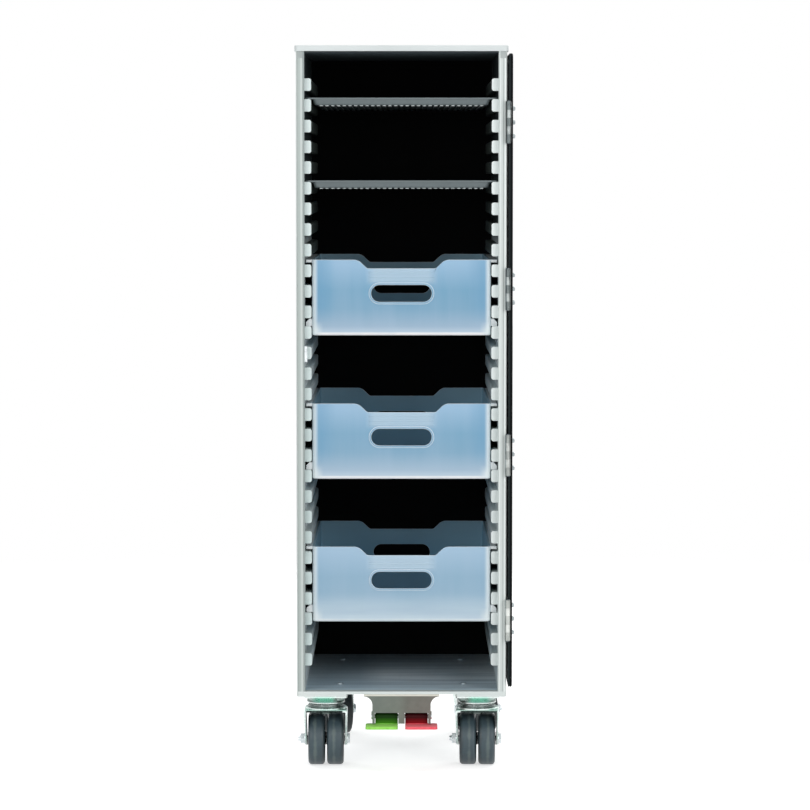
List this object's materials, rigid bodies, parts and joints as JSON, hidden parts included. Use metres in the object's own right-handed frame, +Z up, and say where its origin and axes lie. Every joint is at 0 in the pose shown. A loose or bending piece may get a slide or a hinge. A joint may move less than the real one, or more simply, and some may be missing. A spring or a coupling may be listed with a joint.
{
  "type": "airline trolley",
  "caption": "Half-size galley trolley with its door folded back, drawers and trays on runners, swivel casters and two brake pedals.",
  "frame": {"origin": "on the floor, under the middle of the body", "axes": "+Z up, -Y towards the door side that the drawers come out of, +X to the side that the open door is folded against"},
  "size_m": [0.3144, 0.412, 1.03],
  "materials": {
    "light_plastic": "fine satin moulding",
    "grey_plastic": "satin moulding",
    "inner_sheet": "satin",
    "side_board": "satin laminate",
    "floor_sheet": "satin",
    "light_aluminium": "anodised satin",
    "runner_plastic": "satin",
    "zinc_steel": "bright zinc plate",
    "bright_steel": "polished",
    "hinge_steel": "dull plated",
    "housing_plastic": "moulded satin",
    "door_board": "satin laminate",
    "black_trim": "matt",
    "drawer_plastic": "translucent moulding",
    "tray_plastic": "translucent moulding",
    "green_plastic": "moulded",
    "red_plastic": "moulded",
    "hub_plastic": "moulded",
    "tyre_rubber": "fine satin"
  },
  "bodies": {
    "cabinet": {"top_cap": "light_plastic", "ceiling_panel": "inner_sheet", "left_side_panel": "side_board", "right_side_panel": "side_board", "back_panel": "side_board", "floor_panel": "floor_sheet", "base_frame": "light_aluminium", "corner_posts": "light_aluminium", "corner_blocks": "grey_plastic", "left_runners": "runner_plastic", "right_runners": "runner_plastic", "caster_pads": "light_aluminium", "caster_mounts": "zinc_steel", "latch_striker": "bright_steel", "hinge_post_leaves": "hinge_steel", "hinge_pins": "bright_steel", "floor_rivets": "bright_steel", "brake_housing": "housing_plastic", "pedal_pivot_pin": "bright_steel", "brake_rod_guides": "grey_plastic"},
    "door": {"door_panel": "door_board", "door_edge_trim": "black_trim", "hinge_door_leaves": "hinge_steel", "door_rivets": "bright_steel", "latch_housing": "grey_plastic"},
    "latch_paddle": {"latch_paddle": "light_plastic"},
    "latch_bolt": {"latch_bolt": "bright_steel"},
    "drawer_1": {"drawer_1": "drawer_plastic"},
    "drawer_2": {"drawer_2": "drawer_plastic"},
    "drawer_3": {"drawer_3": "drawer_plastic"},
    "tray_1": {"tray_1": "tray_plastic"},
    "tray_2": {"tray_2": "tray_plastic"},
    "green_pedal": {"green_pedal": "green_plastic"},
    "red_pedal": {"red_pedal": "red_plastic"},
    "brake_rod": {"brake_rod": "zinc_steel"},
    "fork_front_left": {"fork_front_left": "zinc_steel", "axle_front_left": "bright_steel"},
    "wheel_front_left_a": {"hub_front_left_a": "hub_plastic", "tyre_front_left_a": "tyre_rubber"},
    "wheel_front_left_b": {"hub_front_left_b": "hub_plastic", "tyre_front_left_b": "tyre_rubber"},
    "fork_front_right": {"fork_front_right": "zinc_steel", "axle_front_right": "bright_steel"},
    "wheel_front_right_a": {"hub_front_right_a": "hub_plastic", "tyre_front_right_a": "tyre_rubber"},
    "wheel_front_right_b": {"hub_front_right_b": "hub_plastic", "tyre_front_right_b": "tyre_rubber"},
    "fork_rear_left": {"fork_rear_left": "zinc_steel", "axle_rear_left": "bright_steel"},
    "wheel_rear_left_a": {"hub_rear_left_a": "hub_plastic", "tyre_rear_left_a": "tyre_rubber"},
    "wheel_rear_left_b": {"hub_rear_left_b": "hub_plastic", "tyre_rear_left_b": "tyre_rubber"},
    "fork_rear_right": {"fork_rear_right": "zinc_steel", "axle_rear_right": "bright_steel"},
    "wheel_rear_right_a": {"hub_rear_right_a": "hub_plastic", "tyre_rear_right_a": "tyre_rubber"},
    "wheel_rear_right_b": {"hub_rear_right_b": "hub_plastic", "tyre_rear_right_b": "tyre_rubber"}
  },
  "joints": [
    {"name": "door_hinge", "type": "hinge", "parent": "cabinet", "child": "door", "pos_m": [0.1505, -0.2052, 0.5696], "axis": [0, 0, 1], "range_deg": [-270, 0]},
    {"name": "paddle_press", "type": "hinge", "parent": "door", "child": "latch_paddle", "pos_m": [0.1553, -0.0003, 0.595], "axis": [0, 0, 1], "range_deg": [-5, 0], "stiffness_Nm_per_rad": 0.2, "springref_deg": 5.73},
    {"name": "bolt_draw", "type": "slide", "parent": "door", "child": "latch_bolt", "axis": [0, -1, 0], "range_m": [0, 0.0061]},
    {"name": "drawer_1_slide", "type": "slide", "parent": "cabinet", "child": "drawer_1", "axis": [0, -1, 0], "range_m": [0, 0.33]},
    {"name": "drawer_2_slide", "type": "slide", "parent": "cabinet", "child": "drawer_2", "axis": [0, -1, 0], "range_m": [0, 0.33]},
    {"name": "drawer_3_slide", "type": "slide", "parent": "cabinet", "child": "drawer_3", "axis": [0, -1, 0], "range_m": [0, 0.33]},
    {"name": "tray_1_slide", "type": "slide", "parent": "cabinet", "child": "tray_1", "axis": [0, -1, 0], "range_m": [0, 0.33]},
    {"name": "tray_2_slide", "type": "slide", "parent": "cabinet", "child": "tray_2", "axis": [0, -1, 0], "range_m": [0, 0.33]},
    {"name": "green_pedal_press", "type": "hinge", "parent": "cabinet", "child": "green_pedal", "pos_m": [-0.0282, -0.18, 0.076], "axis": [1, 0, 0], "range_deg": [0, 12], "stiffness_Nm_per_rad": 2, "springref_deg": -5.73},
    {"name": "red_pedal_press", "type": "hinge", "parent": "cabinet", "child": "red_pedal", "pos_m": [0.0282, -0.18, 0.076], "axis": [1, 0, 0], "range_deg": [0, 12], "stiffness_Nm_per_rad": 0.0012, "springref_deg": -57.3},
    {"name": "brake_rod_push", "type": "slide", "parent": "cabinet", "child": "brake_rod", "axis": [0, 1, 0], "range_m": [0, 0.0054], "stiffness_N_per_m": 80, "springref_m": -0.004},
    {"name": "swivel_front_left", "type": "hinge", "parent": "cabinet", "child": "fork_front_left", "pos_m": [-0.1085, -0.16, 0.086], "axis": [0, 0, 1], "continuous": true},
    {"name": "roll_front_left_a", "type": "hinge", "parent": "fork_front_left", "child": "wheel_front_left_a", "pos_m": [-0.12219, -0.13812, 0.0375], "axis": [1, 0.0087, 0], "continuous": true},
    {"name": "roll_front_left_b", "type": "hinge", "parent": "fork_front_left", "child": "wheel_front_left_b", "pos_m": [-0.09519, -0.13788, 0.0375], "axis": [1, 0.0087, 0], "continuous": true},
    {"name": "swivel_front_right", "type": "hinge", "parent": "cabinet", "child": "fork_front_right", "pos_m": [0.1085, -0.16, 0.086], "axis": [0, 0, 1], "continuous": true},
    {"name": "roll_front_right_a", "type": "hinge", "parent": "fork_front_right", "child": "wheel_front_right_a", "pos_m": [0.09578, -0.13754, 0.0375], "axis": [0.9994, -0.0349, 0], "continuous": true},
    {"name": "roll_front_right_b", "type": "hinge", "parent": "fork_front_right", "child": "wheel_front_right_b", "pos_m": [0.12276, -0.13848, 0.0375], "axis": [0.9994, -0.0349, 0], "continuous": true},
    {"name": "swivel_rear_left", "type": "hinge", "parent": "cabinet", "child": "fork_rear_left", "pos_m": [-0.1085, 0.16, 0.086], "axis": [0, 0, 1], "continuous": true},
    {"name": "roll_rear_left_a", "type": "hinge", "parent": "fork_rear_left", "child": "wheel_rear_left_a", "pos_m": [-0.09105, 0.14098, 0.0375], "axis": [-0.9816, -0.1908, 0], "continuous": true},
    {"name": "roll_rear_left_b", "type": "hinge", "parent": "fork_rear_left", "child": "wheel_rear_left_b", "pos_m": [-0.11755, 0.13583, 0.0375], "axis": [-0.9816, -0.1908, 0], "continuous": true},
    {"name": "swivel_rear_right", "type": "hinge", "parent": "cabinet", "child": "fork_rear_right", "pos_m": [0.1085, 0.16, 0.086], "axis": [0, 0, 1], "continuous": true},
    {"name": "roll_rear_right_a", "type": "hinge", "parent": "fork_rear_right", "child": "wheel_rear_right_a", "pos_m": [0.12676, 0.14176, 0.0375], "axis": [-0.9724, -0.2334, 0], "continuous": true},
    {"name": "roll_rear_right_b", "type": "hinge", "parent": "fork_rear_right", "child": "wheel_rear_right_b", "pos_m": [0.10051, 0.13546, 0.0375], "axis": [-0.9724, -0.2334, 0], "continuous": true}
  ],
  "couplings": [
    {"joint": "bolt_draw", "follows": "paddle_press", "m_per_rad": -0.068755},
    {"joint": "red_pedal_press", "follows": "brake_rod_push", "rad_per_m": 38.78}
  ]
}
